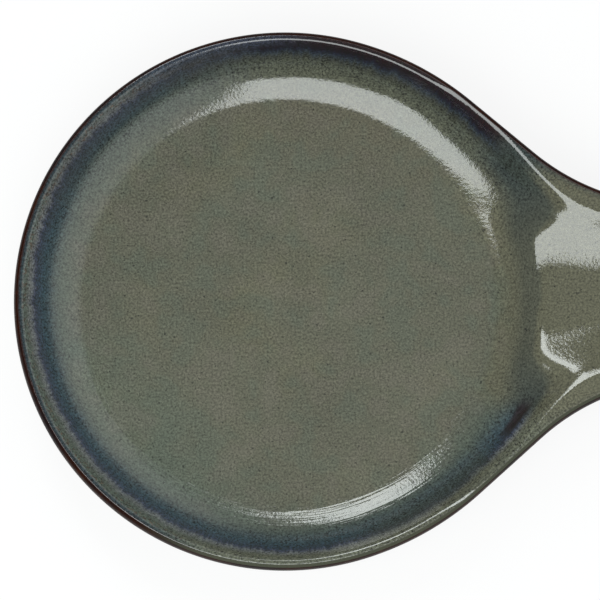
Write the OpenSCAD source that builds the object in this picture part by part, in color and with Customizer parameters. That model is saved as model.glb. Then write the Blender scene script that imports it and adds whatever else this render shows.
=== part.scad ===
// Spoon rest: a round stoneware dish that runs out into a channelled handle.
// One fired casting stands on a wiped foot ring and carries two coats of glaze.

/* [Dish] */
// Outside diameter of the round dish
dish_d = 125; // [110:1:140]
// Depth from the rim down to the floor
dish_depth = 11.5; // [10.5:0.5:14]
// Radius of the cove between floor and wall
cove_r = 12.5; // [9:0.5:14]
// Slope of the wall above the cove, in degrees
wall_slope = 62; // [56:1:72]
// Thickness of the clay under the floor
floor_t = 6; // [4:0.5:9]

/* [Rim] */
// Width of the rim from its outer edge to the top of the wall
rim_w = 2.4; // [2:0.1:4]
// Width of the rounded outer edge
edge_w = 1.5; // [0.8:0.1:1.8]
// Height of the rounded outer edge
edge_h = 3.5; // [2:0.1:5]
// Softness of the inner shoulder of the rim
shoulder_soft = 1.2; // [0.5:0.1:3]

/* [Neck] */
// Angle round the dish where its side starts to leave the circle, in degrees
sweep_from = 75; // [68:1:80]
// Radius of the side between the circle and the straight neck
sweep_r = 70; // [60:1:90]
// Direction that the straight side of the neck faces, in degrees
neck_facing = 49; // [44:1:52]
// Radius of the hollow curve between neck and handle
neck_hollow_r = 52; // [36:1:60]
// Distance from the middle of the dish at which the rim starts to widen
neck_open_from = 45; // [40:1:50]
// Length over which the rim widens to the land beside the channel
neck_open_l = 22; // [18:1:30]
// Distance by which the wall stands back from the rim once the neck is open
wall_step_w = 4; // [3:0.1:5]
// Softness of the saddle between dish and channel
saddle_soft = 4; // [2:0.1:6]
// Distance in from the edge down to which the dish wall follows the neck's side
wall_lean_from = 5; // [3:0.5:7]
// Distance over which the wall then turns back to the round of the dish
wall_lean_w = 13; // [10:0.5:18]
// Softness of the underside where handle and dish meet
under_soft = 6; // [2:0.5:10]

/* [Handle] */
// Length over all
overall_l = 225; // [205:1:250]
// Width across the round end of the handle
handle_w = 38; // [32:1:44]
// Taper of each side of the handle toward its end, in degrees
handle_taper = 1.5; // [0:0.1:3]
// Width of the land on each side of the channel
handle_land_w = 6; // [4:0.1:8]
// Depth of the channel below the rim
channel_depth = 5; // [3:0.1:7]
// Flat share of the channel's width
channel_flat_share = 0.25; // [0:0.01:0.4]
// Softness of the break between the land and the channel
land_soft = 0.8; // [0.4:0.1:2]
// Thickness of the clay under the channel
handle_t = 6; // [4:0.1:8]

/* [Foot] */
// Height of the foot ring
foot_h = 2.5; // [1.5:0.1:5]
// Width of the foot ring where it stands
foot_w = 4; // [2.5:0.1:8]
// Distance from the edge of the base in to the foot ring
foot_inset = 2.5; // [1:0.1:6]
// Rounding of the foot ring's lower edges
foot_round = 0.8; // [0.3:0.1:1.2]

/* [Glaze] */
// Thickness of each coat of glaze
glaze_t = 0.35; // [0.2:0.05:0.6]
// Gap of wiped clay between the foot ring and the glaze inside it
wiped_w = 1; // [0.3:0.1:3]

/* [Hidden] */

// Radii and heights of the dish
dish_r = dish_d / 2;
cove_run = cove_r * sin(wall_slope);
cove_rise = cove_r * (1 - cos(wall_slope));
wall_run = (dish_depth - cove_rise) / tan(wall_slope);
floor_r = dish_r - rim_w - wall_run - cove_run;
floor_z = foot_h + floor_t;
rim_z = floor_z + dish_depth;
edge_z = rim_z - edge_h;
foot_out_r = floor_r - foot_inset;
foot_in_r = foot_out_r - foot_w;

// The dish centre stands this far from the middle of the length
dish_x = dish_r - overall_l / 2;

// Outline of one side: circle, flatter sweep, straight neck, hollow, side, round end
end_r = handle_w / 2;
end_c = [overall_l - dish_r - end_r, 0];
side_facing = 90 - handle_taper;
sweep_c = (dish_r - sweep_r) * facing(sweep_from);
sweep_end = sweep_c + sweep_r * facing(neck_facing);
neck_off = sweep_end * facing(neck_facing) + neck_hollow_r;
side_off = end_c * facing(side_facing) + end_r + neck_hollow_r;
hollow_c = meet(neck_facing, neck_off, side_facing, side_off);
hollow_start = hollow_c - neck_hollow_r * facing(neck_facing);
side_start = hollow_c - neck_hollow_r * facing(side_facing);
side_end = end_c + end_r * facing(side_facing);
// The rib that faces this way ends where the floor's circle crosses the middle line
cross_facing = atan2(hollow_c[1], hollow_c[0] - floor_r);

// Number of ribs along each stretch of the outline
dish_n = 21;
sweep_n = 5;
neck_n = 3;
hollow_n = 2;
hollow_far_n = 8;
side_n = 4;
end_n = 7;
cross_i = dish_n + sweep_n + neck_n + hollow_n;
end_i = cross_i + hollow_far_n + side_n;
half_n = end_i + end_n;
loop_n = 2 * half_n;

// Rows across a rib, from the inside of the dish out to the edge and back below
hollow_row_shares = [1, 0.8, 0.61, 0.44, 0.28, 0.13];
rim_row_shares = [1.5, 1.25, 1.03, 0.82, 0.62];
edge_row_angles = [75, 50, 25, 0];
under_n = 9;
under_row_angles = [for (i = [1:under_n]) 90 * i / under_n];
coat_m = len(hollow_row_shares) + len(rim_row_shares);
edge_m = coat_m + len(edge_row_angles) - 1;
last_m = edge_m + under_n;
row_n = last_m + 1;

// How far in from the outline the underside is fully blended
under_blend_w = 2 * edge_h;

function facing(a) = [cos(a), sin(a)];
function along(a, b, share) = a + (b - a) * share;
function limit(v) = max(0, min(1, v));
function ease(v) = let (t = limit(v)) t * t * (3 - 2 * t);
function unit(v) = v / norm(v);

// Point where two lines cross, each given by the way it faces and its distance
function meet(a, off_a, b, off_b) =
    [off_a * sin(b) - off_b * sin(a), off_b * cos(a) - off_a * cos(b)] / sin(b - a);

// The lower of two heights, rounded where they come within soft of each other
function soft_min(a, b, soft) =
    let (near = max(soft - abs(a - b), 0)) min(a, b) - near * near / (4 * soft);

// A rib is a point of the outline, the way it faces, its length to the middle line
// and how far it belongs to the handle
function rib(p, a, belongs) = [p, facing(a), p[1] / sin(a), belongs];
dish_ribs = [for (i = [0:dish_n - 1])
    let (a = along(180, sweep_from, i / dish_n)) [dish_r * facing(a), facing(a), dish_r, 0]];
sweep_ribs = [for (i = [0:sweep_n - 1])
    let (a = along(sweep_from, neck_facing, i / sweep_n))
    rib(sweep_c + sweep_r * facing(a), a, ease(i / sweep_n))];
neck_ribs = [for (i = [0:neck_n - 1])
    rib(along(sweep_end, hollow_start, i / neck_n), neck_facing, 1)];
hollow_ribs = [for (i = [0:hollow_n - 1])
    let (a = along(neck_facing, cross_facing, i / hollow_n))
    rib(hollow_c - neck_hollow_r * facing(a), a, 1)];
hollow_far_ribs = [for (i = [0:hollow_far_n - 1])
    let (a = along(cross_facing, side_facing, i / hollow_far_n))
    rib(hollow_c - neck_hollow_r * facing(a), a, 1)];
side_ribs = [for (i = [0:side_n - 1])
    rib(along(side_start, side_end, i / side_n), side_facing, 1)];
end_ribs = [for (i = [0:end_n])
    let (a = along(side_facing, 0, i / end_n)) [end_c + end_r * facing(a), facing(a), end_r, 1]];
near_ribs = concat(dish_ribs, sweep_ribs, neck_ribs, hollow_ribs, hollow_far_ribs, side_ribs, end_ribs);
far_ribs = [for (i = [half_n - 1:-1:1])
    let (r = near_ribs[i]) [[r[0][0], -r[0][1]], [r[1][0], -r[1][1]], r[2], r[3]]];
ribs = concat(near_ribs, far_ribs);

function near_i(j) = min(j % loop_n, loop_n - j % loop_n);
function ends_on_circle(j) = near_i(j) < cross_i;

// Length of a rib to the floor's circle, or to the middle line beyond it
function rib_reach(j) =
    let (r = ribs[j], out = r[0] * r[1])
    ends_on_circle(j) ? out - sqrt(max(0, floor_r * floor_r - r[0] * r[0] + out * out)) : r[2];

// Height of the dish wall at a distance from the centre
function wall_z(s) =
    s <= 0 ? floor_z
    : s < cove_run ? floor_z + cove_r - sqrt(cove_r * cove_r - s * s)
    : floor_z + cove_rise + (s - cove_run) * tan(wall_slope);

// How far a rib lies along the opening neck, how far the rim has widened there to the
// land beside the channel, and how wide it is
function neck_share(r) = max(0, r[0][0] - neck_open_from) / neck_open_l;
function opening(r) = ease(neck_share(r));
function land_w(r) = along(rim_w, handle_land_w, opening(r));

// Height of the channel at distance d in from the outline: flat, then a parabola up to the land
function channel_z(r, d) =
    let (
        across = (r[2] - d) / (r[2] - land_w(r)),
        side_share = max(0, across - channel_flat_share) / (1 - channel_flat_share)
    )
    rim_z - channel_depth * (1 - side_share * side_share) + (1 - r[3]) * dish_depth;

// Height of the upper face at distance d in from the outline on a rib
function upper_z(r, d) =
    let (
        round_share = limit(1 - d / edge_w),
        rim = edge_z + edge_h * sqrt(1 - round_share * round_share),
        lean = 1 - ease((d - wall_lean_from) / wall_lean_w),
        beside = dish_r - d + wall_step_w * neck_share(r) ^ 2,
        wall = wall_z(along(norm(r[0] - d * r[1]), beside, lean) - floor_r)
    )
    soft_min(rim, soft_min(wall, channel_z(r, d), saddle_soft), along(shoulder_soft, land_soft, opening(r)));

// Height of the underside at distance d in from the outline on a rib
function under_z(r, d) =
    let (
        p = r[0] - d * r[1],
        bowl_share = limit((norm(p) - floor_r) / (dish_r - floor_r)),
        bowl = edge_z - (edge_z - foot_h) * sqrt(1 - bowl_share * bowl_share),
        side_share = limit(1 - d / r[2]),
        handle_drop = handle_t + channel_depth - edge_h,
        trough = edge_z - r[3] * handle_drop * sqrt(1 - side_share * side_share),
        soft = under_soft * r[3] * limit(d / under_blend_w)
    )
    soft > 0 ? soft_min(bowl, trough, soft) : min(bowl, trough);

function lift(p, z) = [p[0] + dish_x, p[1], z];
function rib_points(j) =
    let (r = ribs[j], reach = rib_reach(j), rim_rows_w = land_w(r) * rim_row_shares[0])
    concat(
        [for (s = hollow_row_shares) let (d = along(rim_rows_w, reach, s))
            lift(r[0] - d * r[1], upper_z(r, d))],
        [for (s = rim_row_shares) let (d = land_w(r) * s) lift(r[0] - d * r[1], upper_z(r, d))],
        [for (a = edge_row_angles) let (d = edge_w * (1 - cos(a))) lift(r[0] - d * r[1], upper_z(r, d))],
        [for (a = under_row_angles) let (d = reach * (1 - cos(a))) lift(r[0] - d * r[1], under_z(r, d))]
    );

// The glazed surface, and the clay surface one coat below it
glazed = [for (j = [0:loop_n - 1]) rib_points(j)];
function mirrored(p) = [p[0], -p[1], p[2]];
function beyond(j, m, z) = ends_on_circle(j) ? [dish_x, 0, z] : mirrored(glazed[j][m]);
function before_row(j, m) = m > 0 ? glazed[j][m - 1] : beyond(j, 1, floor_z);
function after_row(j, m) = m < last_m ? glazed[j][m + 1] : beyond(j, last_m - 1, foot_h);
function on_end_centre(j, m) = (m == 0 || m == last_m) && near_i(j) >= end_i;
function outward(j, m) =
    on_end_centre(j, m) ? [0, 0, m == 0 ? 1 : -1]
    : unit(cross(glazed[(j + 1) % loop_n][m] - glazed[(j + loop_n - 1) % loop_n][m],
                 after_row(j, m) - before_row(j, m)));
clay = [for (j = [0:loop_n - 1]) [for (m = [0:last_m]) glazed[j][m] - glaze_t * outward(j, m)]];
function flat(rows) = [for (r = rows) each r];

// Ribs that end on the middle line share their end with the rib across from them
function shared_j(j) =
    let (i = near_i(j)) i >= end_i ? end_i : i >= cross_i ? i : j % loop_n;
function at(j, m, first) =
    first + ((m == 0 || m == last_m) ? shared_j(j) : j % loop_n) * row_n + m;

// Triangles of a strip between two lists of point numbers
function strip(a, b, c, d) =
    concat(a == b ? [] : [[c, b, a]], c == d ? [] : [[d, c, a]]);
function turned(faces) = [for (f = faces) [f[2], f[1], f[0]]];
function sheet(from_m, to_m, first) =
    flat([for (j = [0:loop_n - 1]) for (m = [from_m:to_m - 1])
        strip(at(j, m, first), at(j + 1, m, first), at(j + 1, m + 1, first), at(j, m + 1, first))]);
disc_js = [for (j = [0:loop_n - 1]) if (near_i(j) <= cross_i && near_i(j + 1) <= cross_i) j];
function upper_disc(first, centre) = [for (j = disc_js) [at(j, 0, first), at(j + 1, 0, first), centre]];
function under_disc(first, centre) =
    [for (j = disc_js) [centre, at(j + 1, last_m, first), at(j, last_m, first)]];
function border(js, m, from_first, to_first) =
    flat([for (j = js) strip(at(j, m, from_first), at(j + 1, m, from_first),
                             at(j + 1, m, to_first), at(j, m, to_first))]);
all_js = [for (j = [0:loop_n - 1]) j];
grid_n = loop_n * row_n;

module foot_ring() {
    translate([dish_x, 0, 0])
    rotate_extrude($fn = 128)
    translate([foot_in_r, 0])
    union() {
        translate([foot_round, 0]) square([foot_w - 2 * foot_round, foot_h + floor_t / 2]);
        translate([0, foot_round]) square([foot_w, foot_h + floor_t / 2 - foot_round]);
        for (x = [foot_round, foot_w - foot_round])
            translate([x, foot_round]) circle(foot_round, $fn = 32);
    }
}

// The fired clay: a lofted shell between the ribs, standing on a turned ring
module stoneware_body() {
    color("#8d6f58") {
        polyhedron(
            concat(flat(clay), [[dish_x, 0, floor_z - glaze_t], [dish_x, 0, foot_h + glaze_t]]),
            concat(sheet(0, last_m, 0), upper_disc(0, grid_n), under_disc(0, grid_n + 1))
        );
        foot_ring();
    }
}

// The grey-green coat over the upper face, from the floor out to the rounded edge
module reactive_glaze() {
    color("#616458")
    polyhedron(
        concat(flat(glazed), flat(clay), [[dish_x, 0, floor_z], [dish_x, 0, floor_z - glaze_t]]),
        concat(
            sheet(0, coat_m, 0),
            upper_disc(0, 2 * grid_n),
            border(all_js, coat_m, 0, grid_n),
            turned(concat(sheet(0, coat_m, grid_n), upper_disc(grid_n, 2 * grid_n + 1)))
        )
    );
}

// The dark iron coat round the edge and over the underside, and the disc inside the foot
module base_glaze() {
    color("#35261f") {
        polyhedron(
            concat(flat(glazed), flat(clay)),
            concat(
                border(all_js, coat_m, grid_n, 0),
                sheet(coat_m, last_m, 0),
                border(disc_js, last_m, 0, grid_n),
                turned(sheet(coat_m, last_m, grid_n))
            )
        );
        translate([dish_x, 0, foot_h]) cylinder(h = glaze_t, r = foot_in_r - wiped_w, $fn = 128);
    }
}

stoneware_body();
reactive_glaze();
base_glaze();
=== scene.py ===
"""Glazed stoneware spoon rest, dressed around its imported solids.

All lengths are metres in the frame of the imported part: +X runs out along the handle, +Y across it
and +Z up out of the dish. The dish, neck and handle are one surface: ribs run square in from the
outline, and a height rule gives the upper face and the underside at each distance along a rib.
"""

import logging
import math
from collections.abc import Callable
from dataclasses import dataclass, field
from enum import Enum
from functools import cached_property

import bpy
import numpy as np
from mathutils import Color, Matrix, Vector

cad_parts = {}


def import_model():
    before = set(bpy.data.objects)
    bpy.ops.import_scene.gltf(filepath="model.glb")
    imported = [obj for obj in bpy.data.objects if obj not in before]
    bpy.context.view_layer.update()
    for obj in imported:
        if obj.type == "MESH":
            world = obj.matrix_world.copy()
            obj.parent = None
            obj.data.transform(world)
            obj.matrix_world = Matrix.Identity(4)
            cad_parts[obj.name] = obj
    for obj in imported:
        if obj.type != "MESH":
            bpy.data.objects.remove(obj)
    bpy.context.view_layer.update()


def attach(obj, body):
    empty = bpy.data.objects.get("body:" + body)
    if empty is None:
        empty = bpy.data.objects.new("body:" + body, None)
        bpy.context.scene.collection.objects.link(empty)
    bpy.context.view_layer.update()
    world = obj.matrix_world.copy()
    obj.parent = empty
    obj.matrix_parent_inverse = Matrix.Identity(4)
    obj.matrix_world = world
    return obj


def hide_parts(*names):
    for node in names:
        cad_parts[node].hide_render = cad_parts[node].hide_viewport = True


LOG = logging.getLogger("spoon_rest")

MM = 0.001
NO_GAP = 1e-9
NO_AREA = 1e-14

SCREEN_WHITE = 255
NOISE_MIDDLE = 0.5

# The Mix node's sockets for colours
MIX_FIRST = 6
MIX_SECOND = 7
MIX_RESULT = 2

# Spans in millimetres: across the middle line to either side, and down the wall to the flat floor
FAR = (-4, 0)
NEAR = (0, -4)
ON_FLOOR = (8, 3)
AS_IS = ()

# The near right side starts where half of x, less y, passes this span
NEAR_SLANT = 0.5
NEAR_SPAN = (32 * MM, 52 * MM)

Number = np.ndarray | float
Colour = tuple[float, float, float, float]
Span = tuple[float, ...]
Socket = bpy.types.NodeSocket


class Coat(Enum):
    """The record's material slots."""

    CLAY = "bare_stoneware"
    REACTIVE = "reactive_glaze"
    IRON = "base_glaze"


class Layer(Enum):
    """Names of the vertex attributes that the finishes read, all in millimetres or degrees."""

    EDGE = "edge_mm"
    WALL = "wall_mm"
    RUN = "run_mm"
    ROUND = "round_deg"


def srgb(red: float, green: float, blue: float) -> Colour:
    """A colour read as 0 to 255 on a screen, as linear light with an alpha of 1."""
    on_screen = Color((red, green, blue)) / SCREEN_WHITE
    return (*on_screen.from_srgb_to_scene_linear(), 1.0)


def facing(degrees: Number) -> np.ndarray:
    """Unit vectors in plan that point the given ways, in degrees round from +X."""
    return np.stack([np.cos(np.radians(degrees)), np.sin(np.radians(degrees))], axis=-1)


def linked(name: str, data: bpy.types.ID) -> bpy.types.Object:
    """A new object in the scene that holds the data."""
    made = bpy.data.objects.new(name, data)
    bpy.context.collection.objects.link(made)
    return made


def ease(values: np.ndarray) -> np.ndarray:
    """Smooth step: 0 below 0, 1 above 1, and 3t squared less 2t cubed between."""
    share = np.clip(values, 0, 1)
    return share * share * (3 - 2 * share)


def soft_min(first: np.ndarray, second: np.ndarray, soft: Number) -> np.ndarray:
    """The lower of two heights, rounded where they are closer than soft.

    There the lower one drops by the square of what is left of soft, over four times soft.
    """
    near = np.maximum(soft - np.abs(first - second), 0)
    return np.minimum(first, second) - near * near / (4 * np.maximum(soft, NO_GAP))


@dataclass(frozen=True)
class CastingSizes:
    """Driving sizes of the fired casting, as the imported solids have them, apart from the rim.

    The rim's outer edge and inner shoulder are rounded 0.3 mm tighter than in the solids, which
    brings its two highlights nearer to where they are photographed. The coat's edge angle keeps
    the end of the coat as far in from the outline as it is there.
    """

    dish_d: float = 125 * MM
    dish_depth: float = 11.5 * MM
    cove_r: float = 12.5 * MM
    wall_slope: float = 62
    floor_t: float = 6 * MM
    rim_w: float = 2.4 * MM
    edge_w: float = 1.2 * MM
    edge_h: float = 3.5 * MM
    shoulder_soft: float = 0.9 * MM
    sweep_from: float = 75
    sweep_r: float = 70 * MM
    neck_facing: float = 49
    neck_hollow_r: float = 52 * MM
    saddle_soft: float = 4 * MM
    neck_open_from: float = 45 * MM
    neck_open_l: float = 22 * MM
    wall_step_w: float = 4 * MM
    land_soft: float = 0.8 * MM
    wall_lean_from: float = 5 * MM
    wall_lean_w: float = 13 * MM
    under_soft: float = 6 * MM
    overall_l: float = 225 * MM
    handle_w: float = 38 * MM
    handle_taper: float = 1.5
    handle_land_w: float = 6 * MM
    channel_depth: float = 5 * MM
    channel_flat_share: float = 0.25
    handle_t: float = 6 * MM
    foot_h: float = 2.5 * MM
    foot_w: float = 4 * MM
    foot_inset: float = 2.5 * MM
    foot_round: float = 0.8 * MM
    glaze_t: float = 0.35 * MM
    wiped_w: float = 1 * MM
    coat_edge_angle: float = 85.7

    @cached_property
    def dish_r(self) -> float:
        """Outside radius of the dish."""
        return self.dish_d / 2

    @cached_property
    def cove_run(self) -> float:
        """How far the cove reaches in plan."""
        return self.cove_r * math.sin(math.radians(self.wall_slope))

    @cached_property
    def cove_rise(self) -> float:
        """How far the cove climbs."""
        return self.cove_r * (1 - math.cos(math.radians(self.wall_slope)))

    @cached_property
    def wall_grade(self) -> float:
        """Rise of the straight wall over its run."""
        return math.tan(math.radians(self.wall_slope))

    @cached_property
    def floor_r(self) -> float:
        """Radius of the flat floor."""
        wall_run = (self.dish_depth - self.cove_rise) / self.wall_grade
        return self.dish_r - self.rim_w - wall_run - self.cove_run

    @cached_property
    def floor_z(self) -> float:
        """Height of the floor."""
        return self.foot_h + self.floor_t

    @cached_property
    def rim_z(self) -> float:
        """Height of the rim."""
        return self.floor_z + self.dish_depth

    @cached_property
    def edge_z(self) -> float:
        """Height at which the casting is widest."""
        return self.rim_z - self.edge_h

    @cached_property
    def coat_edge(self) -> float:
        """Distance in from the outline at which the reactive coat ends."""
        return self.edge_w * (1 - math.cos(math.radians(self.coat_edge_angle)))

    @cached_property
    def dish_x(self) -> float:
        """Place of the dish's centre along the length."""
        return self.dish_r - self.overall_l / 2


@dataclass
class Ribs:
    """Ribs round the outline: where each starts, the way it faces and how far it reaches.

    The outline of one side is a circle, a flatter sweep, a straight neck, a hollow, a straight
    side and a round end, each tangent to the next. The other side is its mirror image.
    """

    sizes: CastingSizes
    spacing: float
    start: np.ndarray = field(init=False)
    way: np.ndarray = field(init=False)
    reach: np.ndarray = field(init=False)
    belongs: np.ndarray = field(init=False)
    opens: np.ndarray = field(init=False)
    step: np.ndarray = field(init=False)
    crossing: int = field(init=False)
    end: int = field(init=False)

    def __post_init__(self) -> None:
        """Works out one side, then mirrors it."""
        s = self.sizes
        end_r = s.handle_w / 2
        end_c = np.array([s.overall_l - s.dish_r - end_r, 0.0])
        side_facing = 90 - s.handle_taper
        sweep_c = (s.dish_r - s.sweep_r) * facing(s.sweep_from)
        sweep_end = sweep_c + s.sweep_r * facing(s.neck_facing)
        lines = np.stack([facing(s.neck_facing), facing(side_facing)])
        offsets = [lines[0] @ sweep_end, lines[1] @ end_c + end_r]
        hollow_c = np.linalg.solve(lines, np.array(offsets) + s.neck_hollow_r)
        hollow_start = hollow_c - s.neck_hollow_r * lines[0]
        side_start = hollow_c - s.neck_hollow_r * lines[1]
        side_end = end_c + end_r * lines[1]
        crossing = math.degrees(math.atan2(hollow_c[1], hollow_c[0] - s.floor_r))

        dish = [
            self._arc(np.zeros(2), s.dish_r, 180, s.sweep_from, np.zeros_like, s.dish_r),
            self._arc(sweep_c, s.sweep_r, s.sweep_from, s.neck_facing, ease),
            self._line(sweep_end, hollow_start, s.neck_facing),
            self._arc(hollow_c, -s.neck_hollow_r, s.neck_facing, crossing),
        ]
        side = [
            self._arc(hollow_c, -s.neck_hollow_r, crossing, side_facing),
            self._line(side_start, side_end, side_facing),
        ]
        tip = self._arc(end_c, end_r, side_facing, 0, reach=end_r, closed=True)
        self.crossing = sum(len(part[0]) for part in dish)
        self.end = self.crossing + sum(len(part[0]) for part in side)
        start, way, reach, belongs = (np.concatenate(rows) for rows in zip(*dish, *side, tip))
        flip = np.array([1.0, -1.0])
        self.start, self.way, self.reach, self.belongs = (
            np.concatenate([rows, rows[-2:0:-1] * sign])
            for rows, sign in ((start, flip), (way, flip), (reach, 1), (belongs, 1))
        )
        share = np.maximum(self.start[:, 0] - s.neck_open_from, 0) / s.neck_open_l
        self.opens = ease(share)
        self.step = s.wall_step_w * share**2

    def _share(self, length: float, closed: bool = False) -> np.ndarray:
        """Even shares from 0 to 1 along a stretch, its last point only where closed."""
        count = max(2, round(length / self.spacing))
        return np.linspace(0, 1, count + 1)[: count + closed]

    def _arc(
        self,
        centre: np.ndarray,
        radius: float,
        first: float,
        last: float,
        belongs: Callable = np.ones_like,
        reach: float | None = None,
        closed: bool = False,
    ) -> tuple:
        """Ribs of an arc: centre plus radius times the way each faces.

        Args:
            centre: Centre of the arc in plan.
            radius: Its radius, negative where the arc is hollow.
            first: The way that its first rib faces, in degrees.
            last: The way that its last rib faces, in degrees.
            belongs: Gives how far a rib belongs to the handle from its share of the arc.
            reach: Length of the ribs, or None where they end on the middle line.
            closed: Whether the arc keeps its last point.

        Returns:
            Starts, ways, reaches and how far each rib belongs to the handle.
        """
        length = abs(math.radians(last - first) * radius)
        share = self._share(length, closed)
        degrees = first + (last - first) * share
        way = facing(degrees)
        start = centre + radius * way
        lengths = start[:, 1] / way[:, 1] if reach is None else np.full(len(share), reach)
        return start, way, lengths, belongs(share)

    def _line(self, first: np.ndarray, last: np.ndarray, degrees: float) -> tuple:
        """Ribs of a straight stretch: even steps from first to last, all facing one way."""
        share = self._share(float(np.linalg.norm(last - first)))
        start = first + (last - first) * share[:, None]
        way = np.broadcast_to(facing(degrees), start.shape)
        return start, way, start[:, 1] / way[:, 1], np.ones(len(share))

    @cached_property
    def count(self) -> int:
        """Number of ribs round the whole outline."""
        return len(self.start)

    @cached_property
    def near(self) -> np.ndarray:
        """Number of each rib's counterpart on the first side."""
        index = np.arange(self.count)
        return np.minimum(index, self.count - index)

    @cached_property
    def run(self) -> np.ndarray:
        """Length of each rib to the floor's circle, or to the middle line beyond it.

        Along a rib the distance from the centre is the floor's radius where the rib's length is
        the part of its start along its way, less the root of radius squared less what is left.
        """
        along = np.sum(self.start * self.way, axis=1)
        left = np.sum(self.start**2, axis=1) - along**2
        root = np.sqrt(np.maximum(self.sizes.floor_r**2 - left, 0))
        return np.where(self.near < self.crossing, along - root, self.reach)


@dataclass(frozen=True)
class Fineness:
    """How finely a mesh is divided: the ribs' spacing, and rows across each stretch of a rib."""

    spacing: float
    rim_rows: int
    face_rows: int
    edge_rows: int
    disc_rings: int
    under_rows: int = 34
    rim_end: float = 4.6 * MM


@dataclass
class Sheet:
    """A grid of surface points, one row for each rib, with the numbers that its finish reads."""

    points: np.ndarray
    edge: np.ndarray
    wall: np.ndarray
    start: np.ndarray

    def joined(self, other: "Sheet") -> "Sheet":
        """This sheet carried on by another, whose first column repeats this one's last."""
        pairs = zip(vars(self).values(), vars(other).values())
        return Sheet(*(np.concatenate([mine, theirs[:, 1:]], axis=1) for mine, theirs in pairs))


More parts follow.
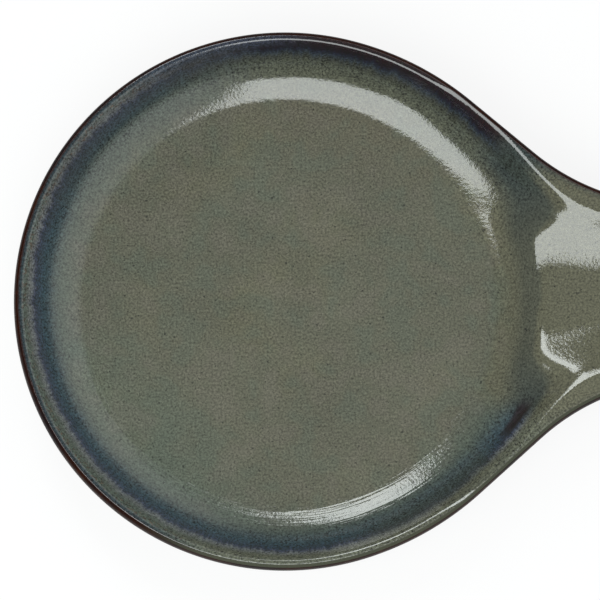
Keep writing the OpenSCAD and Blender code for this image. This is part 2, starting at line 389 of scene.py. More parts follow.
@dataclass
class Casting:
    """The form of the fired casting: height rules over a fan of ribs, and the sheets they give.

    Throughout, depth is the distance in from the outline, one row for each rib, and heights are
    in the part's frame.
    """

    sizes: CastingSizes
    fine: Fineness
    ribs: Ribs = field(init=False)

    def __post_init__(self) -> None:
        """Lays out the ribs."""
        self.ribs = Ribs(self.sizes, self.fine.spacing)

    def plan(self, depth: np.ndarray) -> np.ndarray:
        """Place in plan of each point: the rib's start less depth times its way."""
        return self.ribs.start[:, None] - depth[..., None] * self.ribs.way[:, None]

    def wall_run(self, depth: np.ndarray) -> np.ndarray:
        """How far a point lies out from the floor's edge, measured up the wall.

        Near the rim the distance follows the outline, and lower down it follows the circle, so
        that the wall leans out toward the handle at the neck. It is negative on the floor.
        """
        s = self.sizes
        radius = np.linalg.norm(self.plan(depth), axis=-1)
        lean = 1 - ease((depth - s.wall_lean_from) / s.wall_lean_w)
        beside = s.dish_r - depth + self.ribs.step[:, None]
        return radius + (beside - radius) * lean - s.floor_r

    def upper_z(self, depth: np.ndarray) -> np.ndarray:
        """Height of the upper face.

        The rim is a quarter ellipse that turns level, the wall a circular cove that turns
        straight, and the channel a parabola across the handle. The face is their soft minimum.

        Args:
            depth: Distance in from the outline.

        Returns:
            Heights in the part's frame.
        """
        s = self.sizes
        left = np.clip(1 - depth / s.edge_w, 0, 1)
        rim = s.edge_z + s.edge_h * np.sqrt(1 - left * left)
        run = self.wall_run(depth)
        inside = np.clip(run, 0, s.cove_run)
        cove = s.floor_z + s.cove_r - np.sqrt(s.cove_r**2 - inside**2)
        wall = cove + np.maximum(run - s.cove_run, 0) * s.wall_grade
        reach = self.ribs.reach[:, None]
        opens = self.ribs.opens[:, None]
        land = s.rim_w + (s.handle_land_w - s.rim_w) * opens
        across = (reach - depth) / (reach - land) - s.channel_flat_share
        across = np.maximum(across / (1 - s.channel_flat_share), 0)
        lift = (1 - self.ribs.belongs[:, None]) * s.dish_depth
        channel = s.rim_z - s.channel_depth * (1 - across * across) + lift
        shoulder = s.shoulder_soft + (s.land_soft - s.shoulder_soft) * opens
        return soft_min(rim, soft_min(wall, channel, s.saddle_soft), shoulder)

    def under_z(self, depth: np.ndarray) -> np.ndarray:
        """Height of the underside: the soft minimum of a quarter-ellipse bowl and a half-ellipse trough."""
        s = self.sizes
        radius = np.linalg.norm(self.plan(depth), axis=-1)
        bowl_share = np.clip((radius - s.floor_r) / (s.dish_r - s.floor_r), 0, 1)
        bowl = s.edge_z - (s.edge_z - s.foot_h) * np.sqrt(1 - bowl_share**2)
        side_share = np.clip(1 - depth / self.ribs.reach[:, None], 0, 1)
        drop = s.handle_t + s.channel_depth - s.edge_h
        belongs = self.ribs.belongs[:, None]
        trough = s.edge_z - belongs * drop * np.sqrt(1 - side_share**2)
        soft = s.under_soft * belongs * np.clip(depth / (2 * s.edge_h), 0, 1)
        return soft_min(bowl, trough, soft)

    def sheet(self, depth: np.ndarray, upper: bool) -> Sheet:
        """Points of the upper face, or else of the underside, at the given distances in."""
        plan = self.plan(depth)
        height = self.upper_z(depth) if upper else self.under_z(depth)
        points = np.concatenate([plan + np.array([self.sizes.dish_x, 0.0]), height[..., None]], axis=-1)
        start = np.broadcast_to(self.ribs.start[:, None], plan.shape)
        return Sheet(points, depth, self.wall_run(depth), start)

    def upper_depths(self, first: float) -> np.ndarray:
        """Distances in from the outline over the upper face.

        Even steps cross the rim from first to rim_end, then steps that start as fine and grow
        carry on to the end of each rib.
        """
        fine = self.fine
        rim = np.linspace(first, fine.rim_end, fine.rim_rows + 1)
        share = np.linspace(0, 1, fine.face_rows + 1)[1:]
        left = self.ribs.run[:, None] - fine.rim_end
        even = (fine.rim_end - first) / fine.rim_rows * fine.face_rows / left
        growing = fine.rim_end + left * (even * share + (1 - even) * share**2)
        return np.concatenate([np.tile(rim, (self.ribs.count, 1)), growing], axis=1)

    def edge_depths(self, first: float) -> np.ndarray:
        """Distances round the outer edge, in even turns of its quarter ellipse from first degrees to 0."""
        turn = np.radians(np.linspace(first, 0, self.fine.edge_rows + 1))
        return np.tile(self.sizes.edge_w * (1 - np.cos(turn)), (self.ribs.count, 1))

    def under_depths(self) -> np.ndarray:
        """Distances over the underside: one less the cosine of an even turn, times the rib's run."""
        turn = np.radians(np.linspace(0, 90, self.fine.under_rows + 1))
        return self.ribs.run[:, None] * (1 - np.cos(turn))

    def outward(self, points: np.ndarray) -> np.ndarray:
        """Unit normals of a grid: the cross product of its differences along and across the ribs.

        Args:
            points: The grid, whose first and last columns end on the middle line or a circle.

        Returns:
            One unit vector for each point.
        """
        centre = np.tile([self.sizes.dish_x, 0.0], (len(points), 1))
        on_circle = (self.ribs.near < self.ribs.crossing)[:, None]
        ends = []
        for end, inner in ((0, 1), (-1, -2)):
            mirrored = points[:, inner] * np.array([1.0, -1.0, 1.0])
            level = np.concatenate([centre, points[:, end, 2:]], axis=1)
            ends.append(np.where(on_circle, level, mirrored)[:, None])
        longer = np.concatenate([ends[0], points, ends[1]], axis=1)
        across = longer[:, 2:] - longer[:, :-2]
        along = np.roll(points, -1, axis=0) - np.roll(points, 1, axis=0)
        normal = np.cross(along, across)
        length = np.linalg.norm(normal, axis=-1, keepdims=True)
        up = np.where(np.arange(points.shape[1]) == 0, 1, -1)[:, None] * np.array([0.0, 0.0, 1.0])
        return np.where(length > NO_AREA, normal / np.maximum(length, NO_AREA), up)


@dataclass
class MeshParts:
    """Points and faces gathered for one mesh.

    The rows hold three columns of places, one of edge, one of wall and two of start.
    """

    rows: list = field(default_factory=list)
    faces: list = field(default_factory=list)
    total: int = 0

    def add_points(self, points: np.ndarray, edge: Number, wall: Number, start: np.ndarray) -> int:
        """Adds points with their attributes.

        Args:
            points: Places, one row each.
            edge: Distances in from the outline.
            wall: Distances out from the floor's edge.
            start: Places in plan at which their ribs start.

        Returns:
            Number of the first point.
        """
        first = self.total
        self.total += len(points)
        one = np.ones(len(points))
        self.rows.append(np.column_stack([points, one * edge, one * wall, one[:, None] * start]))
        return first

    def add_quads(self, corners: np.ndarray) -> None:
        """Adds four-cornered faces, as triangles where two corners are one point."""
        same = (corners[:, 0] == corners[:, 1]) | (corners[:, 2] == corners[:, 3])
        self.faces += corners[~same].tolist()
        for quad in corners[same]:
            slim = list(dict.fromkeys(quad.tolist()))
            if len(slim) == 3:
                self.faces.append(slim)

    def mesh_object(self, name: str, centre: float) -> bpy.types.Object:
        """Makes the object, smooth, with its attributes.

        Args:
            name: Name of the piece.
            centre: Place of the dish's centre along X, round which bearings are measured.

        Returns:
            The new object, linked to the scene.
        """
        used = np.unique(np.concatenate(self.faces))
        number = np.zeros(self.total, int)
        number[used] = np.arange(len(used))
        points, edge, wall, start = np.split(np.concatenate(self.rows)[used], (3, 4, 5), axis=1)
        mesh = bpy.data.meshes.new(name)
        mesh.from_pydata(points.tolist(), [], [number[face].tolist() for face in self.faces])
        layers = {
            Layer.EDGE: edge / MM,
            Layer.WALL: wall / MM,
            Layer.RUN: np.concatenate([start, edge], axis=1) / MM,
            Layer.ROUND: np.degrees(np.abs(np.arctan2(points[:, 1], points[:, 0] - centre))),
        }
        for layer, values in layers.items():
            kind, key = ("FLOAT_VECTOR", "vector") if layer is Layer.RUN else ("FLOAT", "value")
            attribute = mesh.attributes.new(layer.value, kind, "POINT")
            attribute.data.foreach_set(key, values.astype(np.float32).ravel())
        mesh.polygons.foreach_set("use_smooth", [True] * len(mesh.polygons))
        mesh.update()
        return linked(name, mesh)


@dataclass
class SheetMesher:
    """Joins a sheet's points into faces round the loop of ribs, and closes the circle inside it."""

    parts: MeshParts
    sheet: Sheet
    casting: Casting
    columns: int = field(init=False)
    first: int = field(init=False)

    def __post_init__(self) -> None:
        """Adds the sheet's points to the mesh."""
        sheet = self.sheet
        self.columns = sheet.points.shape[1]
        points, start = sheet.points.reshape(-1, 3), sheet.start.reshape(-1, 2)
        self.first = self.parts.add_points(points, sheet.edge.ravel(), sheet.wall.ravel(), start)

    def number(self, column: int, shared: bool) -> np.ndarray:
        """Point numbers down one column, where ribs that meet on the middle line share theirs."""
        ribs = self.casting.ribs
        own = np.arange(ribs.count)
        if shared:
            own = np.where(ribs.near >= ribs.crossing, ribs.near, own)
            own = np.where(ribs.near >= ribs.end, ribs.end, own)
        return self.first + own * self.columns + column

    def grid(self, ends: tuple[bool, bool]) -> None:
        """Adds the sheet's faces, where ends says whether each end column lies on the middle line."""
        shared = [ends[0], *[False] * (self.columns - 2), ends[1]]
        numbers = np.stack([self.number(*pair) for pair in enumerate(shared)], axis=1)
        onward = np.roll(numbers, -1, axis=0)
        corners = np.stack([numbers[:, :-1], onward[:, :-1], onward[:, 1:], numbers[:, 1:]], axis=-1)
        self.parts.add_quads(corners.reshape(-1, 4))

    def disc(self, upper: bool) -> None:
        """Closes the circle inside the sheet with rings that shrink to its centre.

        Args:
            upper: Whether the disc is the floor, at the first column, or the base, at the last.
        """
        sizes, ribs, rings = self.casting.sizes, self.casting.ribs, self.casting.fine.disc_rings
        column = 0 if upper else self.columns - 1
        loop = np.r_[: ribs.crossing + 1, ribs.count - ribs.crossing + 1 : ribs.count]
        sheet = self.sheet
        rim, edge, start = (rows[loop, column] for rows in (sheet.points, sheet.edge, sheet.start))
        centre = np.array([sizes.dish_x, 0.0, rim[0, 2]])
        radius = np.linalg.norm(rim[:, :2] - centre[:2], axis=1)
        flat = rim * np.array([1.0, 1.0, 0.0]) + centre * np.array([0.0, 0.0, 1.0])
        outer = self.number(column, True)[loop]
        for ring in range(1, rings):
            share = 1 - ring / rings
            gone = radius * (1 - share)
            first = self.parts.add_points(centre + (flat - centre) * share, edge + gone, -gone, start)
            inner = first + np.arange(len(loop))
            self._ring(outer, inner, upper)
            outer = inner
        middle = self.parts.add_points(centre[None], edge[0] + radius[0], -sizes.floor_r, start[:1])
        self._ring(outer, np.full(len(loop), middle), upper)

    def _ring(self, outer: np.ndarray, inner: np.ndarray, upper: bool) -> None:
        """Adds the faces between two rings of points."""
        bands = [inner, np.roll(inner, -1), np.roll(outer, -1), outer]
        self.parts.add_quads(np.stack(bands if upper else bands[::-1], axis=1))


def math_node(operation: str, turned: bool = False) -> Callable:
    """A method that adds a Math node over a number and another, or the other way round."""

    def method(self: "Value", other: "Value | float") -> "Value":
        """Adds the node."""
        pair = (other, self) if turned else (self, other)
        return Value(self.tree, self.tree.node("ShaderNodeMath", pair, operation=operation))

    return method


class Value:
    """A socket that carries a number, with Python's operators adding Math nodes."""

    __add__ = math_node("ADD")
    __sub__ = math_node("SUBTRACT")
    __rsub__ = math_node("SUBTRACT", turned=True)
    __mul__ = math_node("MULTIPLY")
    __truediv__ = math_node("DIVIDE")
    least = math_node("MINIMUM")

    def __init__(self, tree: "Tree", socket: Socket) -> None:
        """Keeps the socket and the tree that holds it."""
        self.tree = tree
        self.socket = socket

    def swing(self, size: float) -> "Value":
        """A noise made to swing about 0, by half of size either way."""
        return (self - NOISE_MIDDLE) * size

    def step(self, low: float, high: float) -> "Value":
        """Smooth step from 0 at low to 1 at high, or down where low is above high."""
        inputs = {"Value": self, "From Min": min(low, high), "From Max": max(low, high)}
        made = self.tree.node("ShaderNodeMapRange", inputs, interpolation_type="SMOOTHSTEP")
        rise = Value(self.tree, made)
        return 1 - rise if low > high else rise

    def hill(self, low: float, low_top: float, high_top: float, high: float) -> "Value":
        """Rises from low to low_top, stays at 1 to high_top and falls to 0 at high."""
        return self.step(low, low_top) * self.step(high, high_top)

    def within(self, span: Span) -> "Value":
        """A step over a span of two numbers, a hill over one of four, or the number as it is."""
        if not span:
            return self
        return self.step(*span) if len(span) == 2 else self.hill(*span)


@dataclass(frozen=True)
class Noise:
    """A noise from 0 to 1: features to the unit, in all or by axis, layers of detail and roughness."""

    scale: float | tuple
    detail: float
    rough: float


@dataclass(frozen=True)
class Wash:
    """A tint laid over a finish: its colour, its full share and the span of each reading it keeps to."""

    colour: Colour
    share: float
    spans: dict[str, Span]


@dataclass
class Tree:
    """Builds the nodes of a material or of the world."""

    owner: bpy.types.Material | bpy.types.World

    @classmethod
    def new(cls, name: str) -> "Tree":
        """Makes a material with an empty tree."""
        material = bpy.data.materials.new(name)
        material.use_nodes = True
        material.node_tree.nodes.clear()
        return cls(material)

    def node(self, kind: str, inputs=(), output: int | str = 0, **settings) -> Socket | None:
        """Adds any node.

        Args:
            kind: The node's type.
            inputs: Values or sockets by place, or by place or name in a dict.
            output: Number or name of the output wanted.
            **settings: The node's own settings, set before its inputs.

        Returns:
            The wanted output, or None where the node has none.
        """
        made = self.owner.node_tree.nodes.new(kind)
        for name, setting in settings.items():
            setattr(made, name, setting)
        pairs = inputs.items() if isinstance(inputs, dict) else enumerate(inputs)
        for key, value in pairs:
            source = value.socket if isinstance(value, Value) else value
            if isinstance(source, Socket):
                self.owner.node_tree.links.new(source, made.inputs[key])
            else:
                made.inputs[key].default_value = source
        return made.outputs[output] if len(made.outputs) else None

    def layer(self, layer: Layer) -> Value:
        """Reads a vertex attribute as a number."""
        return Value(self, self.node("ShaderNodeAttribute", output="Fac", attribute_name=layer.value))

    def run(self) -> Socket:
        """The place along the outline and in from it, in millimetres."""
        return self.node("ShaderNodeAttribute", output="Vector", attribute_name=Layer.RUN.value)

    def place(self) -> Socket:
        """Object coordinates, in metres."""
        return self.node("ShaderNodeTexCoord", output="Object")

    def near_side(self, place: Socket, centre_x: float) -> Value:
        """1 on the dish's near right side, where the pale glaze covers the edge, and 0 elsewhere."""
        x, y, _ = self.split(place)
        return ((x - centre_x) * NEAR_SLANT - y).step(*NEAR_SPAN)

    def noise(self, vector: Socket, noise: Noise) -> Value:
        """Adds a noise, over a vector scaled by axis where the noise asks for it."""
        scale = noise.scale
        if isinstance(scale, tuple):
            vector = self.node("ShaderNodeVectorMath", [vector, scale], operation="MULTIPLY")
            scale = 1.0
        inputs = {"Vector": vector, "Scale": scale, "Detail": noise.detail, "Roughness": noise.rough}
        return Value(self, self.node("ShaderNodeTexNoise", inputs, output="Fac"))

    def specks(self, vector: Socket, scale: float) -> Value:
        """Distance to the nearest of a scatter of points, in cells."""
        inputs = {"Vector": vector, "Scale": scale}
        return Value(self, self.node("ShaderNodeTexVoronoi", inputs, output="Distance"))

    def split(self, vector: Socket) -> list[Value]:
        """The three parts of a vector."""
        return [Value(self, part) for part in self.node("ShaderNodeSeparateXYZ", [vector]).node.outputs]

    def shaded(self, colour: Socket, share: Value) -> Socket:
        """A colour made lighter or darker by a share."""
        return self.node("ShaderNodeVectorMath", {0: colour, "Scale": share}, operation="SCALE")

    def mix(self, share: Value, first: Socket | Colour, second: Socket | Colour) -> Socket:
        """Mixes two colours by a share."""
        inputs = {"Factor": share, MIX_FIRST: first, MIX_SECOND: second}
        return self.node("ShaderNodeMix", inputs, output=MIX_RESULT, data_type="RGBA")

    def washed(self, colour: Socket | Colour, washes: tuple[Wash, ...], reads: dict[str, Value]) -> Socket:
        """Lays washes over a colour, each where the readings named in its spans lie within them."""
        for wash in washes:
            share = wash.share
            for name, span in wash.spans.items():
                share = reads[name].within(span) * share
            colour = self.mix(share, colour, wash.colour)
        return colour

    def ramp(self, value: Value, stops: tuple[tuple[float, Colour], ...]) -> Socket:
        """A colour picked by a number from stops in rising order, each a number and a colour."""
        first, last = stops[0][0], stops[-1][0]
        made = self.node("ShaderNodeValToRGB", [(value - first) / (last - first)]).node
        elements = made.color_ramp.elements
        for number, colour in stops[1:-1]:
            elements.new((number - first) / (last - first)).color = colour
        elements[0].color = stops[0][1]
        elements[len(elements) - 1].color = stops[-1][1]
        return made.outputs["Color"]

    def bump(self, height: Value, distance: float) -> Socket:
        """A normal disturbed by a height that spans distance metres."""
        return self.node("ShaderNodeBump", {"Height": height, "Distance": distance}, output="Normal")

    def finish(self, **inputs) -> bpy.types.Material:
        """Ends the tree in a Principled shader, whose sockets are named with _ for a space."""
        spaced = {name.replace("_", " "): value for name, value in inputs.items()}
        return self.ended(self.node("ShaderNodeBsdfPrincipled", spaced))

    def ended(self, shader: Socket) -> bpy.types.Material:
        """Ends the tree in a shader and gives the finished material."""
        self.node("ShaderNodeOutputMaterial", {"Surface": shader})
        return self.owner


@dataclass(frozen=True)
class ReactiveFinish:
    """Grey-green reactive glaze that runs blue down the wall and breaks to brown at the edge.

    Each run is a list of colours by distance out from the floor's edge, in millimetres up the
    wall. The cool run has a pale line above its blue band, a painted highlight, and the iron
    run ends in brown. The washes lie over both in turn, after the neck's wall takes painted
    shade. Spans are in millimetres, in degrees round from the handle, or in a noise's own 0 to 1.
    """

    cool_run: tuple = (
        (0.0, srgb(93, 93, 79)),
        (5.0, srgb(80, 87, 77)),
        (6.5, srgb(70, 80, 75)),
        (8.0, srgb(59, 73, 77)),
        (9.0, srgb(50, 69, 77)),
        (10.4, srgb(45, 59, 76)),
        (10.8, srgb(60, 66, 86)),
        # Painted highlight: the pale line from 11.4 to 11.8 mm along the top of the wall
        (11.4, srgb(104, 108, 112)),
        (11.8, srgb(110, 113, 112)),
        (12.4, srgb(89, 97, 90)),
        (13.4, srgb(78, 88, 78)),
    )
    iron_run: tuple = (
        (2.0, srgb(94, 91, 76)),
        (7.5, srgb(85, 87, 72)),
        (10.0, srgb(73, 76, 64)),
        (11.0, srgb(58, 61, 57)),
        (11.6, srgb(46, 54, 61)),
        (12.1, srgb(26, 32, 48)),
        (12.6, srgb(16, 8, 26)),
        (14.0, srgb(28, 3, 2)),
    )
    land: Colour = srgb(92, 91, 74)
    # Painted shade colour, laid on the neck's wall
    painted_shade: Colour = srgb(53, 61, 58)
    ash: Colour = srgb(77, 83, 74)
    murk: Colour = srgb(48, 51, 50)
    dun: Colour = srgb(60, 65, 57)
    ember: Colour = srgb(26, 5, 12)
    moss: Colour = srgb(105, 101, 76)
    mist: Colour = srgb(82, 95, 84)
    blush: Colour = srgb(108, 101, 93)
    rust: Colour = srgb(84, 58, 40)
    teal: Colour = srgb(34, 46, 53)
    brown: Colour = srgb(40, 14, 10)
    navy: Colour = srgb(50, 59, 75)
    speck: Colour = srgb(36, 38, 34)
    washes: tuple = (
        Wash(ash, 0.7, dict(bearing=(100, 116, 138, 156), y=FAR, wall=(3, 6, 8.8, 10.4))),
        Wash(murk, 0.4, dict(bearing=(95, 112, 148, 166), y=FAR, wall=(8.5, 10))),
        Wash(dun, 0.6, dict(bearing=(34, 42, 64, 80), y=NEAR, wall=(7, 10))),
        Wash(land, 1.0, dict(bearing=(30, 20), brow=(11.3, 12.6))),
        Wash(ember, 0.9, dict(bearing=(22, 26, 30, 36), y=NEAR, band=(9, 10, 10.8, 11.6))),
        Wash(land, 0.65, dict(near_side=AS_IS, wall=(11.8, 13))),
        Wash(moss, 0.3, dict(clouds=(0.48, 0.75), wall=ON_FLOOR)),
        Wash(mist, 0.12, dict(drift=(0.52, 0.75), wall=ON_FLOOR)),
        Wash(mist, 0.4, dict(slant=(-42, -64), wall=ON_FLOOR)),
        Wash(blush, 0.2, dict(mottle=(0.5, 0.68), wall=ON_FLOOR)),
        Wash(mist, 0.22, dict(mottle=(0.5, 0.34), wall=ON_FLOOR)),
        Wash(rust, 0.55, dict(line=(1.6, 2.2, 3.0, 3.6), fleck=(0.55, 0.7), clean=AS_IS, off_green=AS_IS)),
        Wash(teal, 1.0, dict(rim=(2.6, 1.7), cool=AS_IS, off_green=AS_IS)),
        Wash(brown, 1.0, dict(rim=(1.6, 1.15), off_green=AS_IS)),
        Wash(navy, 0.6, dict(bearing=(80, 96, 114, 130), y=FAR, rim=(0.9, 1.3, 2.8, 3.8))),
        Wash(speck, 0.7, dict(fleck=(0.77, 0.82))),
    )
    noises: tuple = (
        ("clouds", Noise(45, 3, 0.6)),
        ("drift", Noise(28, 2, 0.5)),
        ("mottle", Noise(170, 1, 0.5)),
        ("fleck", Noise(1300, 0, 0.5)),
    )
    depth: Noise = Noise(70, 5, 0.7)
    grain: Noise = Noise(2000, 3, 0.7)
    peel: Noise = Noise(1500, 2, 0.6)
    swell: Noise = Noise(260, 2, 0.5)
    streak: Noise = Noise((1.3, 1.3, 0.12), 3, 0.6)
    ragged: Noise = Noise((0.3, 0.3, 0.04), 3, 0.6)
    rings: Noise = Noise((0.04, 0.04, 1.3), 2, 0.5)
    streak_jitter: float = 1.6
    ragged_jitter: float = 1.8
    jitter_wall: Span = (3, 9, 12.5, 14.5)
    wall_wear: float = 0.3
    band_wear: float = 0.4
    line_wear: float = 0.3
    rim_wear: float = 0.2
    brow_drop: float = 0.9
    iron_way: tuple = (0.35, 0.94)
    iron_ragged: float = 18
    iron_span: Span = (28.8, 54)
    teal_most: float = 0.9
    teal_off_iron: float = 0.7
    green_most: float = 0.9
    climb: float = 0.7
    climb_twist: float = -0.0004
    dusk_bearing: Span = (8, 29)
    dusk_wall: Span = (6, 10)
    dusk_least: float = 0.38
    dusk_gain: float = 0.6
    neck_bearing: Span = (31, 23)
    neck_wall: Span = (1, 4)
    neck_far_shift: float = 8
    steep_wall: Span = (5, 9)
    steep_bearing: Span = (16, 28)
    steep_grain: float = 0.7
    steep_streak: float = 1.2
    grain_depth: float = 3.0
    floor_depth: float = 0.5
    floor_light_slope: float = 0.0009
    near_wall: Span = (12.2, 13.2)
    near_light: float = 0.12
    thrown_y: Span = (-8, -24)
    thrown_wall: Span = (-0.5, 1.5, 6, 9)
    ring_height: float = 4
    relief: float = 0.034 * MM
    roughness: float = 0.08
    ior: float = 1.8

    def build(self, centre_x: float) -> bpy.types.Material:
        """Makes the material.

        Args:
            centre_x: Place of the dish's centre along X.

        Returns:
            The material.
        """
        t = Tree.new("reactive_glaze")
        place, run = t.place(), t.run()
        edge, wall, bearing = t.layer(Layer.EDGE), t.layer(Layer.WALL), t.layer(Layer.ROUND)
        x, y, _ = t.split(place)
        x = (x - centre_x) / MM
        y = y / MM
        far = y.step(*FAR)
        near_side = t.near_side(place, centre_x)
        streak, ragged = t.noise(run, self.streak), t.noise(run, self.ragged)
        jitter = streak.swing(self.streak_jitter) + ragged.swing(self.ragged_jitter)
        worn = wall + jitter * self.wall_wear

        along, across = self.iron_way
        iron = (x * along + y * across + ragged.swing(self.iron_ragged)).step(*self.iron_span)
        climb = x.least(0) * y * self.climb_twist + self.climb
        height = wall + jitter * wall.hill(*self.jitter_wall)
        colour = t.mix(iron, t.ramp(height - climb, self.cool_run), t.ramp(height, self.iron_run))
        # Painted shade: the neck's wall is darkened toward the painted shade colour, more so toward the
        # neck's sides
        dusk = bearing.step(*self.dusk_bearing) * self.dusk_gain + self.dusk_least
        brink = t.mix(dusk * worn.step(*self.dusk_wall), self.land, self.painted_shade)
        neck = (bearing - far * self.neck_far_shift).step(*self.neck_bearing) * wall.step(*self.neck_wall)
        reads = {
            "bearing": bearing,
            "wall": wall,
            "y": y,
            "slant": x + y,
            "brow": worn - far * self.brow_drop,
            "band": wall + jitter * self.band_wear,
            "line": edge + jitter * self.line_wear,
            "rim": edge + jitter * self.rim_wear,
            "near_side": near_side,
            "off_green": 1 - near_side * self.green_most,
            "clean": 1 - iron,
            "cool": self.teal_most - iron * self.teal_off_iron,
            **{name: t.noise(place, noise) for name, noise in self.noises},
        }
        colour = t.washed(t.mix(neck, colour, brink), self.washes, reads)

        floor = wall.step(*ON_FLOOR)
        steep = wall.step(*self.steep_wall) * bearing.step(*self.steep_bearing)
        light = t.noise(place, self.grain).swing(self.grain_depth) * (steep * self.steep_grain + 1)
        light = light + streak.swing(self.steep_streak) * steep
        light = light + t.noise(place, self.depth).swing(self.floor_depth) * floor
        # Painted light: the rim on the near side is made lighter
        light = light + near_side * wall.step(*self.near_wall) * self.near_light
        # Painted light: the floor grows brighter toward +X and -Y
        colour = t.shaded(colour, light + (x - y) * floor * self.floor_light_slope + 1)

        thrown = y.step(*self.thrown_y) * wall.hill(*self.thrown_wall)
        rings = t.noise(run, self.rings).swing(self.ring_height) * thrown
        normal = t.bump(t.noise(place, self.peel) + t.noise(place, self.swell) + rings, self.relief)
        return t.finish(Base_Color=colour, Roughness=self.roughness, Normal=normal, IOR=self.ior)


@dataclass(frozen=True)
class IronFinish:
    """Dark iron-brown glaze of the outer edge and the underside."""

    brown: Colour = srgb(38, 16, 8)
    rust: Colour = srgb(66, 31, 17)
    slate: Colour = srgb(20, 20, 23)
    green: Colour = srgb(78, 81, 68)
    washes: tuple = (
        Wash(rust, 1.0, dict(streak=(0.45, 0.75), rusting=AS_IS)),
        Wash(slate, 0.7, dict(clouds=(0.4, 0.7))),
        Wash(green, 0.85, dict(near_side=AS_IS, z=(19.1 * MM, 19.5 * MM))),
    )
    streak: Noise = Noise((0.7, 0.7, 0.1), 3, 0.6)
    clouds: Noise = Noise(60, 3, 0.6)
    peel: Noise = Noise(480, 2, 0.5)
    rust_edge: Span = (14, 4)
    rust_gain: float = 0.3
    rust_least: float = 0.12
    gloss_below: Span = (17 * MM, 15 * MM)
    gloss: float = 0.6
    gloss_rough: float = 0.12
    roughness: float = 0.35
    rough_swing: float = 0.08
    relief: float = 0.02 * MM
    ior: float = 1.08

    def build(self, centre_x: float) -> bpy.types.Material:
        """Makes the material of a casting whose dish is centred at centre_x."""
        t = Tree.new("base_glaze")
        place = t.place()
        clouds = t.noise(place, self.clouds)
        _, _, z = t.split(place)
        reads = {
            "streak": t.noise(t.run(), self.streak),
            "rusting": t.layer(Layer.EDGE).step(*self.rust_edge) * self.rust_gain + self.rust_least,
            "clouds": clouds,
            "near_side": t.near_side(place, centre_x),
            "z": z,
        }
        colour = t.washed(self.brown, self.washes, reads)
        normal = t.bump(t.noise(place, self.peel), self.relief)
        rough = clouds.swing(self.rough_swing) + self.roughness
        gloss = {"Coat_Weight": z.step(*self.gloss_below) * self.gloss, "Coat_Roughness": self.gloss_rough}
        return t.finish(Base_Color=colour, Roughness=rough, Normal=normal, IOR=self.ior, **gloss)


@dataclass(frozen=True)
class ClayFinish:
    """Bare fired stoneware of the foot ring: sandy, speckled and matt."""

    buff: Colour = srgb(172, 148, 122)
    toast: Colour = srgb(132, 102, 78)
    grit: Colour = srgb(70, 52, 42)
    washes: tuple = (
        Wash(toast, 1.0, dict(clouds=(0.3, 0.7))),
        Wash(grit, 0.7, dict(grit=(0.28, 0.12))),
    )
    clouds: Noise = Noise(90, 4, 0.6)
    sand: Noise = Noise(1400, 2, 0.7)
    grit_scale: float = 700
    roughness: float = 0.82
    rough_swing: float = 0.1
    relief: float = 0.06 * MM

    def build(self) -> bpy.types.Material:
        """Makes the material."""
        t = Tree.new("bare_stoneware")
        place = t.place()
        sand = t.noise(place, self.sand)
        reads = {"clouds": t.noise(place, self.clouds), "grit": t.specks(place, self.grit_scale)}
        colour = t.washed(self.buff, self.washes, reads)
        rough = sand.swing(self.rough_swing) + self.roughness
        return t.finish(Base_Color=colour, Roughness=rough, Normal=t.bump(sand, self.relief))


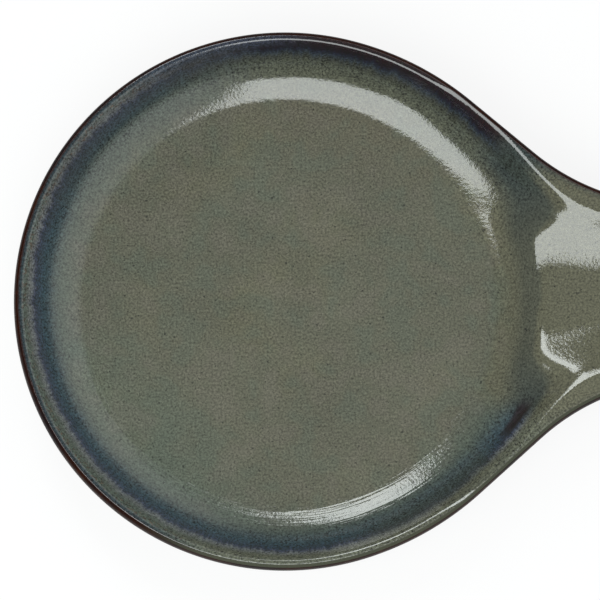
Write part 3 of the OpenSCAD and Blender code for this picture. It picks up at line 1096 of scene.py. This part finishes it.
@dataclass
class SpoonRest:
    """The whole dish: its clay, its two coats of glaze and their finishes."""

    sizes: CastingSizes
    glaze_fine: Fineness = Fineness(0.85 * MM, rim_rows=18, face_rows=28, edge_rows=12, disc_rings=14)
    clay_fine: Fineness = Fineness(0.95 * MM, rim_rows=10, face_rows=26, edge_rows=6, disc_rings=5)
    ring_sides: int = 192
    ring_turns: int = 6
    disc_sides: int = 128
    disc_turns: int = 5
    disc_shares: tuple = (0.9, 0.6, 0.3, 0.0)

    def skin(self, name: str, casting: Casting, sheet: Sheet, upper: bool) -> bpy.types.Object:
        """Makes a coat as a closed skin under its sheet, and closes the floor where it is the upper one."""
        mesher = SheetMesher(MeshParts(), sheet, casting)
        mesher.grid((upper, not upper))
        if upper:
            mesher.disc(True)
        piece = mesher.parts.mesh_object(name, self.sizes.dish_x)
        coat = piece.modifiers.new("coat", "SOLIDIFY")
        coat.thickness = self.sizes.glaze_t
        coat.offset = -1
        return piece

    def reactive_coat(self) -> bpy.types.Object:
        """The coat over the upper face, from the floor out to the rounded edge."""
        casting = Casting(self.sizes, self.glaze_fine)
        sheet = casting.sheet(casting.upper_depths(self.sizes.coat_edge)[:, ::-1], True)
        return self.skin("glazed_face", casting, sheet, True)

    def iron_coat(self) -> bpy.types.Object:
        """The coat round the edge and over the underside, out to the wiped foot."""
        casting = Casting(self.sizes, self.glaze_fine)
        edge = casting.sheet(casting.edge_depths(self.sizes.coat_edge_angle), True)
        under = casting.sheet(casting.under_depths(), False)
        return self.skin("iron_edge", casting, edge.joined(under), False)

    def clay(self) -> bpy.types.Object:
        """The clay below the glaze, with its foot ring."""
        s = self.sizes
        casting = Casting(s, self.clay_fine)
        upper = casting.sheet(casting.upper_depths(s.edge_w)[:, ::-1], True)
        edge = casting.sheet(casting.edge_depths(90), True)
        sheet = upper.joined(edge).joined(casting.sheet(casting.under_depths(), False))
        sheet.points = sheet.points - s.glaze_t * casting.outward(sheet.points)
        mesher = SheetMesher(MeshParts(), sheet, casting)
        mesher.grid((True, True))
        mesher.disc(True)
        mesher.disc(False)
        self.foot_ring(mesher.parts)
        return mesher.parts.mesh_object("fired_clay", s.dish_x)

    def foot_ring(self, parts: MeshParts) -> None:
        """Adds the foot ring: a rounded profile turned about the dish's centre.

        The profile runs down its inner side, round two quarter circles and up its outer side.
        """
        s = self.sizes
        out_r = s.floor_r - s.foot_inset
        in_r = out_r - s.foot_w
        turn = np.radians(np.linspace(0, 90, self.ring_turns + 1))
        slow, fast = s.foot_round * (1 - np.cos(turn)), s.foot_round * (1 - np.sin(turn))
        corner_in = np.stack([in_r + slow, fast], axis=1)
        corner_out = np.stack([out_r - fast, slow], axis=1)
        top = s.foot_h + s.floor_t / 2
        profile = np.concatenate([[[in_r, top]], corner_in, corner_out, [[out_r, top]]])
        self.lathe(parts, profile, self.ring_sides)

    def foot_disc(self) -> bpy.types.Object:
        """The disc of glaze inside the foot ring, with a rounded edge."""
        s = self.sizes
        radius = s.floor_r - s.foot_inset - s.foot_w - s.wiped_w
        turn = np.radians(np.linspace(0, 90, self.disc_turns + 1))
        rim_r, rim_z = radius - s.glaze_t * (1 - np.cos(turn)), s.foot_h + s.glaze_t * (1 - np.sin(turn))
        floor = np.array([[radius * share, s.foot_h] for share in self.disc_shares])
        inner = np.array([[0.0, s.foot_h + s.glaze_t]])
        parts = MeshParts()
        profile = np.concatenate([inner, np.stack([rim_r, rim_z], axis=1), floor])
        self.lathe(parts, profile[::-1], self.disc_sides)
        return parts.mesh_object("foot_disc", s.dish_x)

    def lathe(self, parts: MeshParts, profile: np.ndarray, count: int) -> None:
        """Turns a closed profile of radii and heights about the dish's centre.

        A point of the profile on the axis becomes a single point of the mesh.

        Args:
            parts: The mesh that takes the faces.
            profile: Radius and height of each point.
            count: Number of steps round.
        """
        rows = len(profile)
        dish_r = self.sizes.dish_r
        way = facing(np.arange(count) * 360 / count)
        plan = profile[None, :, :1] * way[:, None, :] + np.array([self.sizes.dish_x, 0.0])
        height = np.broadcast_to(profile[None, :, 1:], (count, rows, 1))
        points = np.concatenate([plan, height], axis=-1).reshape(-1, 3)
        start = np.repeat(way * dish_r, rows, axis=0)
        first = parts.add_points(points, dish_r - np.tile(profile[:, 0], count), 0.0, start)
        index = first + np.arange(count)[:, None] * rows + np.arange(rows)[None]
        axis = profile[:, 0] == 0
        index[:, axis] = index[0, axis]
        onward = np.roll(index, -1, axis=0)
        up, across = np.roll(index, -1, axis=1), np.roll(onward, -1, axis=1)
        parts.add_quads(np.stack([index, onward, across, up], axis=-1).reshape(-1, 4))

    def build(self) -> None:
        """Makes every piece, dresses it and says what it rides on and replaces."""
        reactive = ReactiveFinish().build(self.sizes.dish_x)
        iron = IronFinish().build(self.sizes.dish_x)
        clay = ClayFinish().build()
        rows = [
            (self.clay(), clay, Coat.CLAY, "stoneware_body"),
            (self.reactive_coat(), reactive, Coat.REACTIVE, "reactive_glaze"),
            (self.iron_coat(), iron, Coat.IRON, "base_glaze"),
            (self.foot_disc(), iron, Coat.IRON, "base_glaze"),
        ]
        for piece, material, coat, node in rows:
            piece.data.materials.append(material)
            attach(piece, "root")
            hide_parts(node)
            LOG.info("%s: %d faces, replaces %s", piece.name, len(piece.data.polygons), node)


@dataclass(frozen=True)
class Lamp:
    """A rectangular soft light that faces the dish."""

    name: str
    bearing: float
    height: float
    width: float
    length: float
    radiance: float
    spin: float
    distance: float = 1.0
    tint: tuple = (0.95, 1.0, 0.99)

    def place(self, target: Vector) -> None:
        """Hangs the lamp so that it faces the target."""
        data = bpy.data.lights.new(self.name, "AREA")
        data.shape = "RECTANGLE"
        data.size = self.width
        data.size_y = self.length
        data.color = self.tint
        data.energy = self.radiance * math.pi * self.width * self.length
        height = math.radians(self.height)
        way = Vector((*facing(self.bearing) * math.cos(height), math.sin(height)))
        turn = way.to_track_quat("Z", "Y").to_matrix() @ Matrix.Rotation(math.radians(self.spin), 3, "Z")
        lamp = linked(self.name, data)
        lamp.matrix_world = Matrix.Translation(target + way * self.distance) @ turn.to_4x4()


@dataclass(frozen=True)
class FloorFinish:
    """Pale floor that reads as white to the camera and in reflections, with a faint shadow."""

    pale: Colour = (0.92, 0.92, 0.92, 1)
    white: Colour = (1, 1, 1, 1)
    white_share: float = 0.85

    def build(self) -> bpy.types.Material:
        """Makes the material."""
        t = Tree.new("pale_floor")
        path = t.node("ShaderNodeLightPath").node.outputs
        seen = Value(t, path["Is Camera Ray"]) + Value(t, path["Is Glossy Ray"])
        seen = (seen + Value(t, path["Is Transmission Ray"])).least(1)
        lit = t.node("ShaderNodeBsdfDiffuse", {"Color": self.pale})
        glow = t.node("ShaderNodeEmission", {"Color": self.white})
        return t.ended(t.node("ShaderNodeMixShader", [seen * self.white_share, lit, glow]))


@dataclass
class Studio:
    """The floor, the soft lights, the world and the camera at the photograph's viewing angle."""

    sizes: CastingSizes
    frame_px: float = 600
    dish_px: tuple = (285.0, 299.5)
    px_per_mm: float = 4.337
    tilt: float = 7.5
    roll: float = 1.0
    camera_distance: float = 0.9
    near_clip: float = 10 * MM
    sensor: float = 36.0
    floor_size: float = 3.0
    room: float = 0.18
    room_tint: Colour = (0.95, 0.98, 1.0, 1)
    glow: float = 0.54
    glow_along: Span = (0.0, 0.35)
    glow_up: Span = (0.08, 0.45)
    lamps: tuple = (
        Lamp("front_softbox", -117.9, 57.9, width=0.82, length=0.904, radiance=3.8, spin=28.6),
        Lamp("back_softbox", 106.0, 50.5, width=0.27, length=0.6, radiance=5.4, spin=10.6),
    )

    def floor(self) -> None:
        """A pale floor under the dish, which keeps the dish's soft shadow."""
        half = self.floor_size / 2
        corners = [(x * half, y * half, 0) for x, y in ((-1, -1), (1, -1), (1, 1), (-1, 1))]
        mesh = bpy.data.meshes.new("floor")
        mesh.from_pydata(corners, [], [(0, 1, 2, 3)])
        mesh.materials.append(FloorFinish().build())
        floor = linked("floor", mesh)

    def world(self) -> None:
        """A dim room that grows brighter, without an edge, toward the handle's end."""
        world = bpy.data.worlds.new("room")
        world.use_nodes = True
        world.node_tree.nodes.clear()
        t = Tree(world)
        along, _, up = t.split(t.node("ShaderNodeTexCoord", output="Generated"))
        strength = along.step(*self.glow_along) * up.step(*self.glow_up) * self.glow + self.room
        shader = t.node("ShaderNodeBackground", {"Color": self.room_tint, "Strength": strength})
        t.node("ShaderNodeOutputWorld", {"Surface": shader})
        bpy.context.scene.world = world

    def camera(self) -> None:
        """The camera, nearly overhead, framed so that the handle runs out of the picture."""
        s = self.sizes
        data = bpy.data.cameras.new("camera")
        data.sensor_width = self.sensor
        data.lens = self.sensor * self.camera_distance / (self.frame_px / self.px_per_mm * MM)
        data.clip_start = self.near_clip
        tilt = math.radians(self.tilt)
        back = Vector((0, -math.sin(tilt), math.cos(tilt)))
        right = Vector((1, 0, 0))
        up = back.cross(right)
        turn = Matrix((right, up, back)).transposed() @ Matrix.Rotation(-math.radians(self.roll), 3, "Z")
        off_x = (self.frame_px / 2 - self.dish_px[0]) / self.px_per_mm * MM
        off_y = (self.dish_px[1] - self.frame_px / 2) / self.px_per_mm * MM
        aim = Vector((s.dish_x, 0, s.edge_z)) + turn @ Vector((off_x, off_y, 0))
        camera = linked("camera", data)
        camera.matrix_world = Matrix.Translation(aim + back * self.camera_distance) @ turn.to_4x4()
        bpy.context.scene.camera = camera

    def build(self) -> None:
        """Makes the whole studio."""
        self.floor()
        self.world()
        for lamp in self.lamps:
            lamp.place(Vector((self.sizes.dish_x, 0, self.sizes.floor_z)))
        self.camera()
        bpy.context.scene.view_settings.view_transform = "Standard"


def main() -> None:
    """Loads the frame, and builds the dish and the studio."""
    logging.basicConfig(level=logging.INFO, format="%(name)s: %(message)s")
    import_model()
    sizes = CastingSizes()
    Studio(sizes).build()
    SpoonRest(sizes).build()


if __name__ == "__main__":
    main()
